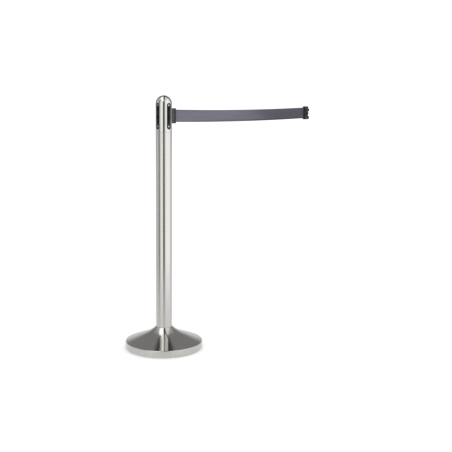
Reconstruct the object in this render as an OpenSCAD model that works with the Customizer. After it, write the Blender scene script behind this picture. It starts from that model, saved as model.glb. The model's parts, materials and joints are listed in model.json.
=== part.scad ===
// Retractable belt stanchion: a weighted post with a spring reel in its domed head.
// Millimetres, +Z up, origin on the floor on the post's axis, belt pulled out along +X.

/* [Post] */
// Height from the floor to the top of the dome
overall_h = 1000; // [900:5:1100]
// Outside diameter of the post tube and of the head
tube_d = 63; // [63:0.5:64]
// Wall of the tube and of the head
tube_wall = 1.2; // [1:0.1:1.4]

/* [Base] */
// Outside diameter of the base cover
base_d = 306; // [290:1:350]
// Height of the upright rim of the base cover
rim_h = 29.5; // [28:0.5:36]
// Height at which the flared cover meets the post
neck_h = 86.8; // [84:0.2:92]
// Thickness of the cast-iron weight at its rim
weight_h = 19; // [15:1:22]

/* [Belt] */
// Width of the webbing
belt_w = 48; // [46:1:50]
// Thickness of the webbing
belt_t = 0.5; // [0.4:0.05:0.6]
// Length of belt pulled out between the mouth and the end clip
belt_out = 763.5; // [200:0.5:1900]
// How far the middle of the free belt hangs below its ends
belt_sag = 5; // [0:1:12]

/* [Head] */
// Width of the four windows in the head
slot_w = 19.5; // [18.5:0.5:20]
// Height of the four windows in the head
slot_h = 101; // [98:1:102]

/* [Hidden] */
$fn = 64;
round_fn = 128;       // facets of large round parts, where OpenSCAD draws them
eps = 1;              // how far a cut runs past the face it opens
fit = 0.05;           // radial clearance of a running or assembled fit

// Post and head
tube_r = tube_d / 2;
bore_r = tube_r - tube_wall;
equator_z = overall_h - tube_r;
seam_z = overall_h - 140;       // joint between post tube and head
seam_gap = 0.3;
belt_z = overall_h - 79;        // middle of the belt, and of the windows
sleeve_t = 1.5;
sleeve_bottom_z = seam_z - 24;
sleeve_top_z = seam_z + 8;

// Base
base_r = base_d / 2;
cover_t = 1.2;
cover_bottom_z = 2;
rim_round = 2;
pad_h = 3;
lip_w = 8;                      // the cover's lip, turned in under the weight's edge
lip_t = 1;
pad_r = base_r - lip_w - 0.5;
pad_ring_w = 27;
weight_r = base_r - 5;
weight_hub_r = 50;
weight_hub_z = 30;
locating_r = bore_r - 0.2;
locating_h = 6;
bolt_r = 6;
bolt_head_h = 7.5;
bolt_head_af = 19;
recess_r = 18;
recess_z = 14;                  // top of the bolt's recess under the weight
plug_z = weight_hub_z + locating_h;
plug_h = 16;
bolt_top_z = plug_z + 12;
hole_r = tube_r + 0.4;          // hole in the cover that the tube passes through
neck_r = hole_r + 1.4;
neck_round = 0.8;
flare_r = 150;                  // radius of the curve between the cone and the neck
flare_lift = 11.3;              // how far that curve lifts the neck above the cone
grommet_bottom = neck_h - 9;
grommet_top = neck_h - 3.2;
grommet_r = tube_r + 1.2;

// Reel cassette
housing_r = bore_r - 0.4;
chamber_r = 21.5;
floor_z = sleeve_top_z;         // underside of the housing, on the sleeve's top edge
floor_t = 3;
housing_top_z = belt_z + 51;
lid_r = 28.5;
lid_t = 3;
axle_r = 3;
spool_bottom_z = belt_z - 27;
spool_top_z = belt_z + 27;
flange_r = 20.5;
flange_t = 1.5;
hub_r = 8;
arbor_r = 5;
bush_r = 4.5;
bush_h = 6;
wound_length = 1200;            // belt left on the reel
roll_r = sqrt(hub_r * hub_r + wound_length * belt_t * 0.9 / PI);
barrel_r = chamber_r - 0.2;
barrel_wall = 1.2;
barrel_top_z = spool_bottom_z - 3;
spring_t = 0.5;
spring_turns = 7.5;
spring_bottom_z = floor_z + floor_t + 2.2;
spring_top_z = barrel_top_z - 2.2;
post_screw_r = 25.7;            // the lid's screws stand on this radius

// Windows and receivers: heights are from belt_z
plate_x = 28.4;                 // face of the plates behind the windows
plate_t = 2;
pocket_x = 22.2;                // back of the pocket, behind its thin rear wall
plate_hw = 10.2;
plate_hh = 50;
block_x = 21.6;                 // back of the receiver
block_bottom = -30;
block_top = 40;
throat_hw = 3.5;
pocket_hw = 6.8;
key_bottom = -28;
key_top = 38;
lug_h = 12;
lug_z = [-27, 7];               // bottoms of the two hook lugs when hooked in
lift = 18;                      // how far a hook is lifted to come out
lower_screw = -39;
upper_screw = 41.5;
screw_head_r = 3.2;

// Belt mouth
nose_hw = 8;
nose_hh = 29;
nose_x = 46.5;                   // where the bezel begins
mouth_x = 56.5;
channel_hw = 6.6;
cavity_hw = 8.4;
cavity_hh = 26;
roller_x = 43.5;
roller_r = 2.6;
roller_hh = 25.7;
pin_r = 1;
right_roller_y = -(belt_t / 2 + 0.02 + roller_r);
left_roller_y = 1.2 + roller_r;

// Belt end clip
clip_x = mouth_x + belt_out;    // back face of the clip
clip_l = 24;
clip_hw = 7;
clip_hh = 29;
clip_round = 2.5;
bar_x = clip_x + 4.5;
bar_r = 1.2;
hem_l = 25;                     // length of the sewn-back belt outside the clip
loop_r = bar_r + fit + belt_t / 2;
neck_hw = 2.5;
lug_hw = 6;
lug_neck_l = plate_t + 1.2;
lug_head_t = 3.4;
slider_x = clip_x + 13;
slider_hw = 5;
slider_bottom = -8.5;
slider_top = 2.5;
slider_travel = 3.5;
slider_front_x = clip_x + clip_l + slider_travel;
lock_spring_r = 1.8;
lock_spring_x = clip_x + 8.2;
lock_spring_l = 10.7;
clip_screw_x = clip_x + 11;
clip_screw_z = [-21, 20];

module ring(outer_r, inner_r, z0, z1, fn = $fn) {
    translate([0, 0, z0])
        difference() {
            cylinder(r = outer_r, h = z1 - z0, $fn = fn);
            translate([0, 0, -eps]) cylinder(r = inner_r, h = z1 - z0 + 2 * eps, $fn = fn);
        }
}

// A box from its two corners
module block(low, high) {
    translate(low) cube(high - low);
}

// A cylinder lying along +X from x0 to x1
module rod_x(r, x0, x1, y = 0, z = 0) {
    translate([x0, y, z]) rotate([0, 90, 0]) cylinder(r = r, h = x1 - x0);
}

// A window's outline: an upright slot with round ends, cut outward along +X
module window_cut(w, h, x0, x1) {
    block([x0, -w / 2, belt_z - h / 2 + w / 2], [x1, w / 2, belt_z + h / 2 - w / 2]);
    for (side = [-1, 1]) rod_x(w / 2, x0, x1, 0, belt_z + side * (h / 2 - w / 2));
}

// ---------- Base ----------

// Points of an arc about centre c, from angle a0 to a1
function arc(c, r, a0, a1, steps) =
    [for (i = [0:steps]) let (a = a0 + (a1 - a0) * i / steps) c + r * [cos(a), sin(a)]];

// The cover is a shallow cone that curves up into the neck
function angle_from(c, p) = atan2(p[1] - c[1], p[0] - c[0]) + 360;

flare_top = [neck_r, neck_h - neck_round];
rim_corner = [base_r - rim_round, rim_h];
cone_line = rim_corner - (flare_top - [0, flare_lift]);
cone_dir = cone_line / norm(cone_line);
cone_up = [-cone_dir[1], cone_dir[0]];
cone_slope = -atan2(cone_dir[1], cone_dir[0]);
neck_above = flare_lift * cos(cone_slope);
neck_along = sqrt(neck_above * (2 * flare_r - neck_above));
flare_centre = flare_top + cone_dir * neck_along + cone_up * (flare_r - neck_above);
flare_a0 = angle_from(flare_centre, flare_top);
flare_a1 = 270 - cone_slope;
rim_centre = [base_r - rim_round, rim_h - rim_round];

module floor_pad() {
    color("dimgray") ring(pad_r, pad_r - pad_ring_w, 0, pad_h, round_fn);
}

module base_weight() {
    color("darkslategray")
    difference() {
        rotate_extrude($fn = round_fn)
            polygon([
                [bolt_r + 0.5, pad_h], [weight_r - 4, pad_h], [weight_r, pad_h + 4], [weight_r, weight_h],
                [weight_hub_r + 20, weight_h + 8], [weight_hub_r, weight_hub_z],
                [locating_r, weight_hub_z], [locating_r, weight_hub_z + locating_h - 1],
                [locating_r - 1, weight_hub_z + locating_h], [bolt_r + 0.5, weight_hub_z + locating_h]
            ]);
        translate([0, 0, pad_h - eps]) cylinder(r = recess_r, h = recess_z - pad_h + eps);
    }
}

module base_cover() {
    color("silver")
    rotate_extrude($fn = round_fn)
        polygon(concat(
            [[hole_r, grommet_top]],
            arc([hole_r + neck_round, neck_h - neck_round], neck_round, 180, 48, 6),
            arc(flare_centre, flare_r, flare_a0, flare_a1, 14),
            arc(rim_centre, rim_round, 90 - cone_slope, 0, 5),
            [[base_r, cover_bottom_z], [base_r - lip_w, cover_bottom_z],
             [base_r - lip_w, cover_bottom_z + lip_t], [base_r - cover_t, cover_bottom_z + lip_t]],
            arc(rim_centre, rim_round - cover_t, 0, 90 - cone_slope, 3),
            arc(flare_centre, flare_r + cover_t, flare_a1, flare_a0 + 0.6, 14)
        ));
}

module neck_grommet() {
    color("black") ring(grommet_r, tube_r + fit, grommet_bottom, grommet_top);
}

module base_bolt() {
    color("gray") {
        translate([0, 0, recess_z - 5 - bolt_head_h])
            cylinder(d = bolt_head_af / cos(30), h = bolt_head_h, $fn = 6);
        translate([0, 0, recess_z - 5]) cylinder(r = bolt_r, h = bolt_top_z - recess_z + 5);
    }
}

module base_washer() {
    color("lightgray") ring(recess_r - 2, bolt_r + 0.3, recess_z - 2, recess_z);
}

module lock_washer() {
    color("gray")
    difference() {
        ring(10, bolt_r + 0.3, recess_z - 5, recess_z - 2);
        block([0, -0.8, recess_z - 5 - eps], [12, 0.8, recess_z - 2 + eps]);
    }
}

// ---------- Post ----------

module tube_plug() {
    color("gray") ring(bore_r - fit, bolt_r + fit, plug_z, plug_z + plug_h);
}

module post_tube() {
    color("lightgray") ring(tube_r, bore_r, weight_hub_z, seam_z - seam_gap / 2, round_fn);
}

module coupling_sleeve() {
    color("gray") ring(bore_r - fit, bore_r - fit - sleeve_t, sleeve_bottom_z, sleeve_top_z);
}

module head_shell() {
    color("lightgray")
    difference() {
        union() {
            translate([0, 0, seam_z + seam_gap / 2])
                cylinder(r = tube_r, h = equator_z - seam_z - seam_gap / 2, $fn = round_fn);
            translate([0, 0, equator_z]) sphere(r = tube_r, $fn = round_fn);
        }
        translate([0, 0, seam_z - tube_d])
            cylinder(r = bore_r, h = equator_z - seam_z + tube_d, $fn = round_fn);
        translate([0, 0, equator_z]) sphere(r = bore_r, $fn = round_fn);
        for (turn = [0:90:270]) rotate(turn) window_cut(slot_w, slot_h, bore_r - 10, tube_r + eps);
    }
}

// ---------- Receivers ----------

// The keyhole that a hook enters: two windows, and a throat that it drops down
module keyhole_cut() {
    block([pocket_x, -pocket_hw, belt_z + key_bottom], [plate_x - plate_t, pocket_hw, belt_z + key_top]);
    block([pocket_x + 1, -throat_hw, belt_z + key_bottom], [plate_x + eps, throat_hw, belt_z + key_top]);
    for (z = lug_z)
        block([pocket_x + 1, -pocket_hw, belt_z + z + lift - 1],
              [plate_x + eps, pocket_hw, belt_z + z + lift + lug_h + 1]);
}

module receiver() {
    difference() {
        union() {
            block([plate_x - plate_t, -plate_hw, belt_z - plate_hh], [plate_x, plate_hw, belt_z + plate_hh]);
            block([block_x, -plate_hw, belt_z + block_bottom],
                  [plate_x - plate_t + 0.01, plate_hw, belt_z + block_top]);
        }
        keyhole_cut();
        for (z = [lower_screw, upper_screw])
            rod_x(1.2, plate_x - plate_t - eps, plate_x + eps, 0, belt_z + z);
    }
}

module receiver_left() { color("#222222") rotate(90) receiver(); }
module receiver_right() { color("#222222") rotate(-90) receiver(); }
module receiver_rear() { color("#222222") rotate(180) receiver(); }

module receiver_screws() {
    color("silver")
    for (turn = [0:90:270], z = [lower_screw, upper_screw])
        rotate(turn)
            difference() {
                union() {
                    rod_x(1.15, block_x + 1, plate_x + 0.5, 0, belt_z + z);
                    rod_x(screw_head_r, plate_x, plate_x + 1.3, 0, belt_z + z);
                }
                block([plate_x + 0.7, -2, belt_z + z - 0.3], [plate_x + 2, 2, belt_z + z + 0.3]);
                block([plate_x + 0.7, -0.3, belt_z + z - 2], [plate_x + 2, 0.3, belt_z + z + 2]);
            }
}

// ---------- Reel cassette ----------

module reel_housing() {
    plate_back = plate_x - plate_t - 0.1;
    color("#303030")
    difference() {
        translate([0, 0, floor_z]) cylinder(r = housing_r, h = housing_top_z - floor_z);
        translate([0, 0, floor_z + floor_t]) cylinder(r = chamber_r, h = housing_top_z);
        translate([0, 0, floor_z - eps]) cylinder(r = axle_r, h = floor_t + 2 * eps);
        for (turn = [0:90:270]) rotate(turn) {
            block([plate_back, -plate_hw - 0.1, belt_z - plate_hh - 0.1],
                  [housing_r + eps, plate_hw + 0.1, housing_top_z + eps]);
            for (z = [lower_screw, upper_screw]) rod_x(1.15, block_x + 1, housing_r, 0, belt_z + z);
        }
        for (turn = [90:90:270]) rotate(turn)
            block([chamber_r - 3, -plate_hw - 0.1, belt_z + block_bottom - 0.2],
                  [housing_r, plate_hw + 0.1, belt_z + block_top + 0.2]);
        // room for the belt on its way from the reel to the mouth
        block([14, -13.5, belt_z - nose_hh], [23, plate_hw + 0.1, belt_z + nose_hh]);
        block([22, -plate_hw - 0.1, belt_z - nose_hh], [plate_back + eps, plate_hw + 0.1, belt_z + nose_hh]);
        for (turn = [45:90:315]) rotate(turn)
            translate([post_screw_r, 0, housing_top_z - 12]) cylinder(r = 1.25, h = 12 + eps);
    }
}

module housing_lid() {
    color("#303030")
    difference() {
        union() {
            translate([0, 0, housing_top_z]) cylinder(r = lid_r, h = lid_t);
            translate([0, 0, spool_top_z + 0.5]) cylinder(r = 7, h = housing_top_z - spool_top_z);
        }
        translate([0, 0, spool_top_z]) cylinder(r = axle_r, h = housing_top_z - spool_top_z);
        for (turn = [45:90:315]) rotate(turn)
            translate([post_screw_r, 0, housing_top_z - eps]) cylinder(r = 1.4, h = lid_t + 2 * eps);
    }
}

module housing_screws() {
    color("silver")
    for (turn = [45:90:315]) rotate(turn) translate([post_screw_r, 0, 0]) {
        translate([0, 0, housing_top_z - 10]) cylinder(r = 1.25, h = 10 + lid_t);
        translate([0, 0, housing_top_z + lid_t]) cylinder(r = 2.4, h = 1.5);
    }
}

module spring_barrel() {
    color("#3a3a3a")
    difference() {
        translate([0, 0, floor_z + floor_t]) cylinder(r = barrel_r, h = barrel_top_z - floor_z - floor_t);
        translate([0, 0, spring_bottom_z - 0.2])
            cylinder(r = barrel_r - barrel_wall, h = barrel_top_z);
        translate([0, 0, floor_z]) cylinder(r = arbor_r + 1.5, h = barrel_top_z);
    }
}

module barrel_lid() {
    color("#3a3a3a")
        ring(barrel_r, arbor_r + 0.5, barrel_top_z, barrel_top_z + 1.5);
}

// The outer end of the mainspring hooks over this pin
module barrel_anchor_pin() {
    color("silver")
    translate([barrel_r - barrel_wall - 1.2, 0, spring_bottom_z - 0.2])
        cylinder(r = 0.7, h = spring_top_z - spring_bottom_z + 0.4);
}

module mainspring() {
    steps = 24 * spring_turns;
    inner = arbor_r + 0.15;
    outer = barrel_r - barrel_wall - 2.6;
    function reach(i) = inner + (outer - inner) * i / steps;
    side_in = [for (i = [0:steps]) reach(i) * [cos(i * 15), sin(i * 15)]];
    side_out = [for (i = [steps:-1:0]) (reach(i) + spring_t) * [cos(i * 15), sin(i * 15)]];
    color("slategray")
    translate([0, 0, spring_bottom_z])
        linear_extrude(spring_top_z - spring_bottom_z) polygon(concat(side_in, side_out));
}

module reel_axle() {
    color("silver")
    union() {
        translate([0, 0, floor_z]) cylinder(r = axle_r, h = housing_top_z - floor_z - 0.5);
        translate([0, 0, floor_z - 2]) cylinder(r = 5, h = 2);
    }
}

module thrust_washer() {
    color("ivory") ring(6, axle_r + fit, floor_z + floor_t, floor_z + floor_t + 1);
}

module reel_spool() {
    bottom_z = floor_z + floor_t + 1.1;
    color("#444444")
    difference() {
        union() {
            translate([0, 0, bottom_z]) cylinder(r = arbor_r, h = spool_bottom_z - bottom_z + eps);
            translate([0, 0, spool_bottom_z]) cylinder(r = hub_r, h = spool_top_z - spool_bottom_z);
            translate([0, 0, spool_bottom_z]) cylinder(r = flange_r, h = flange_t);
            translate([0, 0, spool_top_z - flange_t]) cylinder(r = flange_r, h = flange_t);
        }
        translate([0, 0, bottom_z - eps]) cylinder(r = axle_r + 0.4, h = spool_top_z - bottom_z + 2 * eps);
        for (z = [bottom_z - eps, spool_top_z - bush_h])
            translate([0, 0, z]) cylinder(r = bush_r, h = bush_h + eps);
        // lightening holes in the upper flange
        for (turn = [0:60:300]) rotate(turn)
            translate([14, 0, spool_top_z - flange_t - 0.2]) cylinder(r = 2.5, h = 3);
    }
}

module lower_bush() {
    color("goldenrod")
        ring(bush_r, axle_r + fit, floor_z + floor_t + 1.1, floor_z + floor_t + 1.1 + bush_h);
}

module upper_bush() {
    color("goldenrod") ring(bush_r, axle_r + fit, spool_top_z - bush_h, spool_top_z);
}

module belt_roll() {
    color("slategray") ring(roll_r, hub_r + fit, belt_z - belt_w / 2, belt_z + belt_w / 2);
}

// ---------- Belt mouth ----------

module belt_guide() {
    color("#454447")
    difference() {
        union() {
            block([plate_x - plate_t, -plate_hw, belt_z - plate_hh], [plate_x, plate_hw, belt_z + plate_hh]);
            block([plate_x - eps, -nose_hw, belt_z - nose_hh], [nose_x, nose_hw, belt_z + nose_hh]);
        }
        block([plate_x - plate_t - eps, -cavity_hw, belt_z - cavity_hh],
              [plate_x - 0.5, cavity_hw, belt_z + cavity_hh]);
        block([plate_x - eps, -channel_hw, belt_z - cavity_hh],
              [nose_x + eps, channel_hw, belt_z + cavity_hh]);
        for (y = [left_roller_y, right_roller_y])
            translate([roller_x, y, belt_z - nose_hh + 1]) cylinder(r = pin_r, h = 2 * nose_hh - 2);
        for (z = [lower_screw, upper_screw])
            rod_x(1.2, plate_x - plate_t - eps, plate_x + eps, 0, belt_z + z);
    }
}

module mouth_bezel() {
    color("#1c1b1d")
    difference() {
        block([nose_x, -nose_hw - 0.3, belt_z - nose_hh - 0.3],
              [mouth_x, nose_hw + 0.3, belt_z + nose_hh + 0.3]);
        block([nose_x - eps, -1.6, belt_z - belt_w / 2 - 1], [mouth_x + eps, 2.4, belt_z + belt_w / 2 + 1]);
        // chamfered corners of the front face
        for (side = [-1, 1])
            translate([mouth_x, side * (nose_hw + 0.3), belt_z - nose_hh - 1])
                rotate(45) block([-1.4, -1.4, 0], [1.4, 1.4, 2 * nose_hh + 2]);
    }
}

module guide_pins() {
    color("silver")
    for (y = [left_roller_y, right_roller_y])
        translate([roller_x, y, belt_z - nose_hh + 1]) cylinder(r = pin_r, h = 2 * nose_hh - 2);
}

module roller(y) {
    translate([roller_x, y, 0]) ring(roller_r, pin_r + fit, belt_z - roller_hh, belt_z + roller_hh);
}

module left_roller() { color("ivory") roller(left_roller_y); }
module right_roller() { color("ivory") roller(right_roller_y); }

// ---------- Belt ----------

// The outline of a strip belt_t thick along a line of [x, y, nx, ny] stations
function strip(line) = concat(
    [for (p = line) [p[0] + p[2] * belt_t / 2, p[1] + p[3] * belt_t / 2]],
    [for (i = [len(line) - 1:-1:0]) [line[i][0] - line[i][2] * belt_t / 2, line[i][1] - line[i][3] * belt_t / 2]]
);

module upright_strip(line) {
    translate([0, 0, belt_z - belt_w / 2]) linear_extrude(belt_w) polygon(strip(line));
}

// From the reel, round the right-hand roller and out of the mouth
module belt_lead() {
    leave_r = roll_r + belt_t / 2 + 0.02;
    wrap_r = -right_roller_y;
    distance = norm([roller_x, right_roller_y]);
    slope = asin((leave_r + wrap_r) / distance) - atan2(wrap_r, roller_x);
    color("slategray")
    upright_strip(concat(
        [[leave_r * sin(slope), -leave_r * cos(slope), -sin(slope), cos(slope)]],
        [for (i = [4:-1:0]) let (a = slope * i / 4)
            [roller_x - wrap_r * sin(a), -wrap_r + wrap_r * cos(a), -sin(a), cos(a)]],
        [[mouth_x, 0, 0, 1]]
    ));
}

// The free belt, which sags a little between the mouth and the clip
module belt_run() {
    steps = 32;
    function sag(u) = -4 * belt_sag * u * (1 - u);
    top = [for (i = [0:steps]) [mouth_x + belt_out * i / steps, belt_z + belt_w / 2 + sag(i / steps)]];
    end = [[bar_x, belt_z + belt_w / 2], [bar_x, belt_z - belt_w / 2]];
    bottom = [for (i = [steps:-1:0]) [mouth_x + belt_out * i / steps, belt_z - belt_w / 2 + sag(i / steps)]];
    color("slategray")
    translate([0, belt_t / 2, 0]) rotate([90, 0, 0]) linear_extrude(belt_t) polygon(concat(top, end, bottom));
}

// The end of the belt, round the clip's bar and sewn back on itself
module belt_hem() {
    lie = [clip_x + 1.6, belt_t + 0.04];
    back = lie - [bar_x, loop_r];
    // the belt leaves the bar on the tangent that meets the lying layer
    leave_a = atan2(back[1], back[0]) + 360 - acos(loop_r / norm(back));
    bend_a = (leave_a + 270) / 2;
    color("slategray")
    upright_strip(concat(
        [for (i = [0:15]) let (a = -90 + (leave_a + 90) * i / 15)
            [bar_x + loop_r * cos(a), loop_r + loop_r * sin(a), -cos(a), -sin(a)]],
        [[lie[0], lie[1], cos(bend_a - 180), sin(bend_a - 180)], [clip_x - hem_l, lie[1], 0, -1]]
    ));
}

// ---------- Belt end clip ----------

module clip_block() {
    translate([clip_x, 0, belt_z - clip_hh]) {
        translate([clip_round, -clip_hw, 0]) cube([clip_l - 2 * clip_round, 2 * clip_hw, 2 * clip_hh]);
        translate([0, clip_round - clip_hw, 0]) cube([clip_l, 2 * (clip_hw - clip_round), 2 * clip_hh]);
        for (x = [clip_round, clip_l - clip_round], y = [clip_round - clip_hw, clip_hw - clip_round])
            translate([x, y, 0]) cylinder(r = clip_round, h = 2 * clip_hh);
    }
}

module clip_cavities() {
    half_belt = belt_w / 2 + 0.4;
    front_x = clip_x + clip_l;
    // slot for the belt, and room for its loop round the bar
    block([clip_x - eps, -0.4, belt_z - half_belt], [bar_x + 3, 0.95, belt_z + half_belt]);
    block([clip_x + 1.2, -0.4, belt_z - half_belt], [bar_x + 3, 3.6, belt_z + half_belt]);
    translate([bar_x, loop_r, belt_z - clip_hh + 2]) cylinder(r = bar_r, h = 2 * clip_hh - 4);
    // channel of the lock slider, its spring and its two thumb tabs
    block([slider_x - slider_travel - 0.3, -slider_hw - 0.15, belt_z + slider_bottom - 0.15],
          [front_x + eps, slider_hw + 0.15, belt_z + slider_top + 0.15]);
    rod_x(lock_spring_r + 0.4, lock_spring_x, slider_x, 0, belt_z + (slider_bottom + slider_top) / 2);
    block([slider_x - slider_travel - 0.3, -clip_hw - eps, belt_z + slider_bottom + 1.5],
          [slider_x + 6.2, clip_hw + eps, belt_z + slider_top - 1.5]);
    for (z = lug_z) {
        block([front_x - 7, -neck_hw - 2.5, belt_z + z], [front_x - 4, neck_hw + 2.5, belt_z + z + lug_h]);
        block([front_x - 5, -neck_hw, belt_z + z], [front_x + eps, neck_hw, belt_z + z + lug_h]);
    }
    for (z = clip_screw_z) {
        translate([clip_screw_x, 0, belt_z + z]) rotate([90, 0, 0]) cylinder(r = 1.1, h = 10, center = true);
        translate([clip_screw_x, -clip_hw - eps, belt_z + z])
            rotate([-90, 0, 0]) cylinder(r = 2.1, h = 2.4 + eps);
    }
}

module clip_half(side) {
    difference() {
        intersection() {
            clip_block();
            translate([clip_x - eps, side > 0 ? 0.01 : -clip_hw - eps, belt_z - clip_hh - eps])
                cube([clip_l + 2 * eps, clip_hw + eps - 0.01, 2 * clip_hh + 2 * eps]);
        }
        clip_cavities();
    }
}

module clip_front_shell() { color("#232224") clip_half(1); }
module clip_back_shell() { color("#232224") clip_half(-1); }

module clip_bar() {
    color("silver")
    translate([bar_x, loop_r, belt_z - clip_hh + 2]) cylinder(r = bar_r, h = 2 * clip_hh - 4);
}

module hook_lugs() {
    front_x = clip_x + clip_l;
    head_x = front_x + lug_neck_l;
    color("#232224")
    for (z = lug_z) {
        block([front_x - 7, -neck_hw - 2.5, belt_z + z], [front_x - 4, neck_hw + 2.5, belt_z + z + lug_h]);
        block([front_x - 4.01, -neck_hw, belt_z + z], [head_x + 0.01, neck_hw, belt_z + z + lug_h]);
        block([head_x, -lug_hw, belt_z + z], [head_x + lug_head_t, lug_hw, belt_z + z + lug_h]);
    }
}

module clip_screws() {
    color("silver")
    for (z = clip_screw_z)
        translate([clip_screw_x, 0, belt_z + z]) rotate([-90, 0, 0]) {
            translate([0, 0, -clip_hw + 2.4]) cylinder(r = 1.1, h = clip_hw + 2.5);
            difference() {
                translate([0, 0, -clip_hw + 0.9]) cylinder(r = 2, h = 1.5);
                block([-1.4, -0.3, -clip_hw], [1.4, 0.3, -clip_hw + 1.6]);
            }
        }
}

module lock_slider() {
    mid_z = belt_z + (slider_bottom + slider_top) / 2;
    color("#3c3b40")
    difference() {
        union() {
            block([slider_x, -slider_hw, belt_z + slider_bottom],
                  [slider_front_x, slider_hw, belt_z + slider_top]);
            for (side = [-1, 1])
                translate([slider_x, side > 0 ? slider_hw - 0.01 : -clip_hw - 0.9,
                           belt_z + slider_bottom + 1.7])
                    cube([6, clip_hw - slider_hw + 0.91, slider_top - slider_bottom - 3.4]);
        }
        rod_x(lock_spring_r + 0.3, slider_x - eps, slider_x + 6, 0, mid_z);
        // grooves across the thumb tabs
        for (side = [-1, 1], x = [1.2, 2.8, 4.4])
            translate([slider_x + x, side * (clip_hw + 0.9) - 0.4, belt_z + slider_bottom])
                cube([0.6, 0.8, slider_top - slider_bottom]);
        // the catch's lower front edge slopes, so that a hook can ride in
        translate([slider_front_x, -slider_hw - eps, belt_z + slider_bottom])
            rotate([0, 45, 0]) block([-1.6, 0, -1.6], [1.6, 2 * slider_hw + 2 * eps, 1.6]);
    }
}

module lock_spring() {
    turns = 5;
    sides = 8;
    rings = 12 * turns;
    wire = 0.22;
    mid = [lock_spring_x + wire + 0.05, 0, belt_z + (slider_bottom + slider_top) / 2];
    pitch_l = lock_spring_l - 2 * wire - 0.1;
    coil_r = lock_spring_r - wire;
    points = [for (i = [0:rings], k = [0:sides - 1])
        let (a = 360 * turns * i / rings, b = 360 * k / sides, r = coil_r + wire * cos(b))
        mid + [pitch_l * i / rings + wire * sin(b), r * cos(a), r * sin(a)]];
    faces = concat(
        [[for (k = [0:sides - 1]) k]],
        [for (i = [0:rings - 1], k = [0:sides - 1])
            [i * sides + k, (i + 1) * sides + k, (i + 1) * sides + (k + 1) % sides, i * sides + (k + 1) % sides]],
        [[for (k = [sides - 1:-1:0]) rings * sides + k]]
    );
    color("silver") polyhedron(points, faces);
}

floor_pad();
base_weight();
base_cover();
neck_grommet();
base_bolt();
base_washer();
lock_washer();
tube_plug();
post_tube();
coupling_sleeve();
head_shell();
receiver_left();
receiver_right();
receiver_rear();
receiver_screws();
reel_housing();
housing_lid();
housing_screws();
spring_barrel();
barrel_lid();
barrel_anchor_pin();
mainspring();
reel_axle();
thrust_washer();
reel_spool();
lower_bush();
upper_bush();
belt_roll();
belt_guide();
mouth_bezel();
guide_pins();
left_roller();
right_roller();
belt_lead();
belt_run();
belt_hem();
clip_front_shell();
clip_back_shell();
clip_bar();
hook_lugs();
clip_screws();
lock_slider();
lock_spring();
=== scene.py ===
"""Retractable belt stanchion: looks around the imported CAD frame.

Metres, +Z up, the post's axis at the origin and the belt pulled out along +X.
"""

import json
import math

import bmesh
import bpy
from mathutils import Euler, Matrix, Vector

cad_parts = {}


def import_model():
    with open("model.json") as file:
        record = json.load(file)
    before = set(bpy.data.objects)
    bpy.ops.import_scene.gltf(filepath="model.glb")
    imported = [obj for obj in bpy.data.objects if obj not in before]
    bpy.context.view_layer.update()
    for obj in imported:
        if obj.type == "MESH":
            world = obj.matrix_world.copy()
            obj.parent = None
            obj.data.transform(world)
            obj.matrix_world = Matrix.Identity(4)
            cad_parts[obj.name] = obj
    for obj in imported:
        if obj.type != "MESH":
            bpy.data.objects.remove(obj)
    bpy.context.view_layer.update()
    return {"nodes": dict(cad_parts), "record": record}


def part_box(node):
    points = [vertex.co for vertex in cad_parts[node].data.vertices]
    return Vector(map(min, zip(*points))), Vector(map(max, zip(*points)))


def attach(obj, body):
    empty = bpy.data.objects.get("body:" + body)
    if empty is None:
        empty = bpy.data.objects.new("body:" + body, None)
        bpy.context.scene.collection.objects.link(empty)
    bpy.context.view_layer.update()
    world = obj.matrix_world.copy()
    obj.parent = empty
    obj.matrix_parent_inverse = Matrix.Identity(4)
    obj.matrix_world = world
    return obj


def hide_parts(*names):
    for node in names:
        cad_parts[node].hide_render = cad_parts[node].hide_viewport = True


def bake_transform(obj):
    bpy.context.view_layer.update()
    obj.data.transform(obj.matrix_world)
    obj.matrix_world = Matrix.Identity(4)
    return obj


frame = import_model()
NODES = frame["nodes"]
MM = 0.001

# ---------- Measures taken from the frame ----------

TUBE_LOW, TUBE_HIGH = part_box("post_tube")
TUBE_R = TUBE_HIGH.x
HEAD_LOW, HEAD_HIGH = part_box("head_shell")
COVER_LOW, COVER_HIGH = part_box("base_cover")
COVER_R = COVER_HIGH.x
BEZEL_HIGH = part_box("mouth_bezel")[1]
ROLL_LOW, ROLL_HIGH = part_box("belt_roll")
ROLLER_LOW, ROLLER_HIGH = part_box("right_roller")
CLIP_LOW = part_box("clip_front_shell")[0]
BAR_LOW, BAR_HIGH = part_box("clip_bar")
HEM_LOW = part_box("belt_hem")[0]
RUN_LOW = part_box("belt_run")[0]

WALL = 1.2 * MM                                 # thickness of tube, head and cover
EQUATOR_Z = HEAD_HIGH.z - TUBE_R                # where the head's dome starts
BELT_W = ROLL_HIGH.z - ROLL_LOW.z
BELT_T = 0.5 * MM
BELT_Z = (ROLL_HIGH.z + ROLL_LOW.z) / 2
BELT_SAG = BELT_Z - BELT_W / 2 - RUN_LOW.z      # at the middle of its free part
MOUTH_X = BEZEL_HIGH.x
CLIP_X = CLIP_LOW.x
WINDOW_W = 19.5 * MM
WINDOW_H = 101 * MM
SHARP_ANGLE = 35                                # degrees; a steeper edge is drawn sharp


# ---------- Mesh helpers ----------

def new_object(name, mesh_data):
    piece = bpy.data.objects.new(name, mesh_data)
    bpy.context.scene.collection.objects.link(piece)
    return piece


def mesh_object(name, verts, faces, sharp_angle=SHARP_ANGLE):
    data = bpy.data.meshes.new(name)
    data.from_pydata([tuple(v) for v in verts], [], faces)
    data.validate()
    data.polygons.foreach_set("use_smooth", [True] * len(data.polygons))
    data.set_sharp_from_angle(angle=math.radians(sharp_angle))
    return new_object(name, data)


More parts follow.
